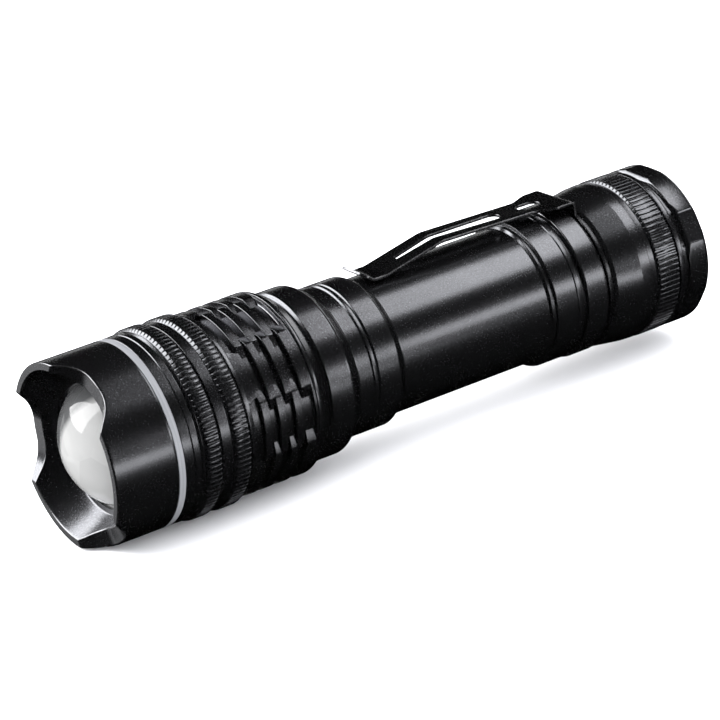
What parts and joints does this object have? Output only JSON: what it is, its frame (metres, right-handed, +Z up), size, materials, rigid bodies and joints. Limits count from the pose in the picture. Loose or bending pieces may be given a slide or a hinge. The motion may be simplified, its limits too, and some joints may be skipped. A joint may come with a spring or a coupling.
{
  "type": "tactical flashlight",
  "caption": "Black aluminium zoom flashlight: crenellated sliding head with domed lens and fins, round battery barrel with spring belt clip, screw tail cap with a push button.",
  "frame": {"origin": "under the middle of the light, on the surface that its widest band touches, centred across its width", "axes": "+X along the light from the bezel to the tail, +Z up through the belt clip, +Y across"},
  "size_m": [0.1414, 0.038, 0.0381],
  "materials": {
    "black_anodised": "satin black anodising, bead blasted, bright cut edges",
    "silver_ring": "satin clear anodising",
    "clear_lens": "polished",
    "black_rubber": "smooth",
    "boot_rubber": "fine matt",
    "black_steel": "black oxide spring steel",
    "plated_steel": "bright plated",
    "bare_aluminium": "turned",
    "white_nylon": "moulded",
    "white_board": "white solder mask",
    "green_board": "green solder mask",
    "led_yellow": "phosphor under a clear dome",
    "red_wire": "wire insulation",
    "black_plastic": "moulded",
    "cell_jacket": "printed jacket with no marks"
  },
  "bodies": {
    "head": {"bezel": "black_anodised", "accent_ring": "silver_ring", "lens": "clear_lens", "lens_gasket": "black_rubber", "lens_retainer": "black_anodised", "head_sleeve": "black_anodised"},
    "glide": {"glide_ring": "white_nylon"},
    "body": {"focus_tube": "black_anodised", "stop_ring": "white_nylon", "focus_oring": "black_rubber", "led_pillar": "bare_aluminium", "led_board": "white_board", "led_emitter": "led_yellow", "led_centring_ring": "white_nylon", "led_leads": "red_wire", "driver_board": "green_board", "driver_spring": "plated_steel", "barrel": "black_anodised", "barrel_oring": "black_rubber", "clip_ring": "black_steel", "carrier_frame": "black_plastic", "carrier_contacts": "plated_steel", "cell_springs": "plated_steel", "battery_cells": "cell_jacket"},
    "clip": {"clip_leaf": "black_steel"},
    "cap_seal": {"tail_oring": "black_rubber"},
    "tail": {"tail_cap": "black_anodised", "tail_spring": "plated_steel", "switch_board": "green_board", "switch_body": "black_plastic", "switch_retainer": "bare_aluminium"},
    "button": {"switch_plunger": "white_nylon", "switch_boot": "boot_rubber"}
  },
  "joints": [
    {"name": "focus_slide", "type": "slide", "parent": "body", "child": "glide", "axis": [-1, 0, 0], "range_m": [0, 0.01]},
    {"name": "head_spin", "type": "hinge", "parent": "glide", "child": "head", "pos_m": [-0.02505, 0, 0.01905], "axis": [1, 0, 0], "continuous": true},
    {"name": "clip_flex", "type": "hinge", "parent": "body", "child": "clip", "pos_m": [0.03485, 0, 0.03586], "axis": [0, 1, 0], "range_deg": [0, 5], "stiffness_Nm_per_rad": 0.2, "springref_deg": -1.72},
    {"name": "cap_unscrew", "type": "hinge", "parent": "body", "child": "cap_seal", "pos_m": [0.048, 0, 0.01905], "axis": [1, 0, 0], "range_deg": [0, 1441]},
    {"name": "cap_advance", "type": "slide", "parent": "cap_seal", "child": "tail", "axis": [1, 0, 0], "range_m": [0, 0.004]},
    {"name": "button_press", "type": "slide", "parent": "tail", "child": "button", "axis": [-1, 0, 0], "range_m": [0, 0.0015], "stiffness_N_per_m": 600, "springref_m": -0.001}
  ],
  "couplings": [
    {"joint": "cap_unscrew", "follows": "cap_advance", "rad_per_m": 6283.2}
  ]
}
